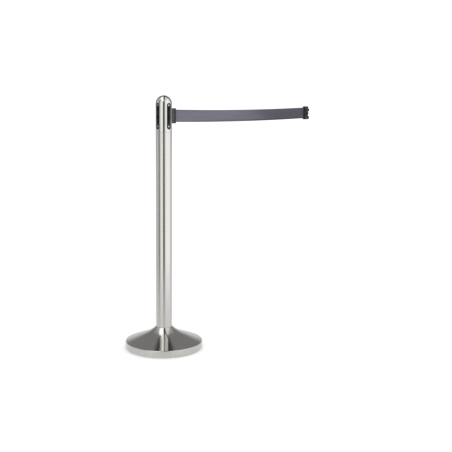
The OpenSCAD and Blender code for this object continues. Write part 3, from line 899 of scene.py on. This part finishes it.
def lay_lights(paint, look, place, lights, unit=1.0):
    """Lays soft-edged lights and cards over a look; each has its middle and half width in place."""
    for middle, half, bright in lights:
        off = paint.math("ABSOLUTE", paint.math("SUBTRACT", place, middle * unit))
        inner, outer = half * unit * (1 - LIGHT_EDGE), half * unit * (1 + LIGHT_EDGE)
        look = paint.blend(paint.spread(off, 1, 0, inner, outer), look, grey(bright))
    return look


def tent_look():
    """What the steel reflects: a pale tent with a few soft boxes and black cards."""
    paint = Paint("studio_tent")
    x, front, up = paint.split()
    right = paint.times(x, -1)
    azimuth = paint.math("ARCTAN2", right, front)
    reach = paint.math("SQRT", paint.add(paint.times(right, right), paint.times(front, front)))
    across = paint.math("DIVIDE", right, up)

    wall = lay_lights(paint, grey(WALL_TONE), azimuth, WALL_LIGHTS, math.radians(1))
    off_ground = paint.math("MAXIMUM", paint.share(reach, *GROUND_REACH),
                            paint.share(up, *GROUND_RISE))
    wall = paint.blend(off_ground, grey(GROUND_TONE), wall)

    back = lay_lights(paint, grey(BACK_TONE), across, BACK_LIGHTS)
    turned = paint.math("ABSOLUTE", azimuth)
    behind = paint.times(paint.share(turned, *BACK_TURN), paint.share(up, *BACK_RISE))
    wall = paint.blend(behind, wall, back)

    roof = lay_lights(paint, grey(ROOF_TONE), across, ROOF_LIGHTS)
    overhead = paint.share(paint.add(up, paint.times(front, ROOF_LEAN)), *ROOF_RISE)

    light = paint.node("ShaderNodeEmission", paint.blend(overhead, wall, roof))
    paint.tree.links.new(light.outputs[0], paint.tree.nodes["Material Output"].inputs["Surface"])
    paint.material.cycles.emission_sampling = "NONE"
    return paint.material


# Where one part of the tent gives way to the next, from and to (metres or radians)
GROUND_REACH, GROUND_RISE = (0.1, 1.8), (0.0, 0.4)      # distance, height: floor, walls
BACK_TURN = (math.radians(100), math.radians(140))      # angle from the camera: walls, back
BACK_RISE = (0.4, 1.2)                                  # height: walls, back
ROOF_LEAN, ROOF_RISE = 0.4, (3.4, 3.9)                  # height, higher in front: walls, roof

LIGHT_EDGE = 0.25       # how far a light's soft edge reaches, as a share of its half width
WALL_TONE, GROUND_TONE, BACK_TONE, ROOF_TONE = 0.7, 0.8, 0.25, 0.3
# Round the walls, in degrees from the camera, right positive: middle, half width, brightness
WALL_LIGHTS = [
    (-30, 16, 1.2),         # left soft box
    (60, 40, 1.3),          # right soft box
    (0, 12, 0.1),           # the gap that the camera looks through
    (-70, 10, 0.25),        # black card
]
# Over the back, by distance to the right over height
BACK_LIGHTS = [
    (0, 0.15, 0.05),        # black card
    (-0.05, 0.02, 1.0),     # narrow strip light in front of it
]
# Over the roof, the same way
ROOF_LIGHTS = [
    (-0.3, 0.25, 1.6),      # left soft box
    (0.4, 0.25, 0.9),       # right soft box
    (0.05, 0.08, 0.05),     # the gap between them
]


def tent():
    """A round tent on the floor, seen only in reflections."""
    inner, step = 0.02, 0.2
    outline = [(inner, TENT_FLOOR_Z)]
    outline += [(step + (TENT_R - step) * i / 12, TENT_FLOOR_Z) for i in range(13)]
    outline += [(TENT_R, TENT_WALL * i / 6) for i in range(1, 7)]
    outline += arc((0, TENT_WALL), TENT_R, 0, 89.5, 18)[1:]
    verts, faces = [], []
    segments = 96
    for s in range(segments):
        turn = 2 * math.pi * s / segments
        verts += [(r * math.cos(turn), r * math.sin(turn), z) for r, z in outline]
    count = len(outline)
    for s in range(segments):
        here, there = s * count, (s + 1) % segments * count
        for i in range(count - 1):
            faces.append((here + i, there + i, there + i + 1, here + i + 1))
    piece = mesh_object("studio_tent", verts, faces)
    piece.rotation_euler.z = math.pi - CAMERA_AZIMUTH
    piece.data.materials.append(tent_look())
    piece.visible_camera = False
    piece.visible_diffuse = False
    piece.visible_shadow = False
    piece.visible_transmission = False


def card(name, corners, paint):
    """A flat four-sided object."""
    piece = mesh_object(name, corners, [(0, 1, 2, 3)])
    piece.data.materials.append(paint.material)
    return piece


def floor():
    paint = Paint("pale_floor", roughness=0.9, specular_ior_level=0.1)
    cloud = paint.noise(paint.place, 3, 3)
    paint.set(base_color=paint.ramp(cloud, (0.3, 0.90), (0.7, 0.92)),
              emission_color=(1, 1, 1, 1), emission_strength=0.10)
    half = 14.0
    corners = [(-half, -half, 0), (half, -half, 0), (half, half, 0), (-half, half, 0)]
    card("floor", corners, paint)


def world():
    made = bpy.data.worlds.new("studio")
    made.use_nodes = True
    sky = made.node_tree.nodes["Background"]
    sky.inputs["Color"].default_value = (1, 1, 1, 1)
    sky.inputs["Strength"].default_value = 1.15
    bpy.context.scene.world = made
    bpy.context.scene.view_settings.view_transform = "Standard"


def flag():
    """A black card that shades the far end of the belt; nothing else sees it."""
    paint = Paint("flag_cloth", roughness=0.95, specular_ior_level=0.0)
    paint.set(base_color=paint.ramp(paint.noise(paint.place, 40, 2), (0.3, 0.01), (0.7, 0.02)))
    x0, x1, y0, y1, z0, z1 = 0.53, 1.10, -0.13, -0.23, 0.81, 1.03
    piece = card("shade_flag", [(x0, y0, z0), (x1, y1, z0), (x1, y1, z1), (x0, y0, z1)], paint)
    piece.visible_camera = False
    piece.visible_glossy = False


# ---------- Build ----------

paint_nodes()
post_tube()
base_cover()
head_shell()
belt()
hem_stitching()
lock_spring()
ease_edges()
camera()
tent()
flag()
floor()
world()
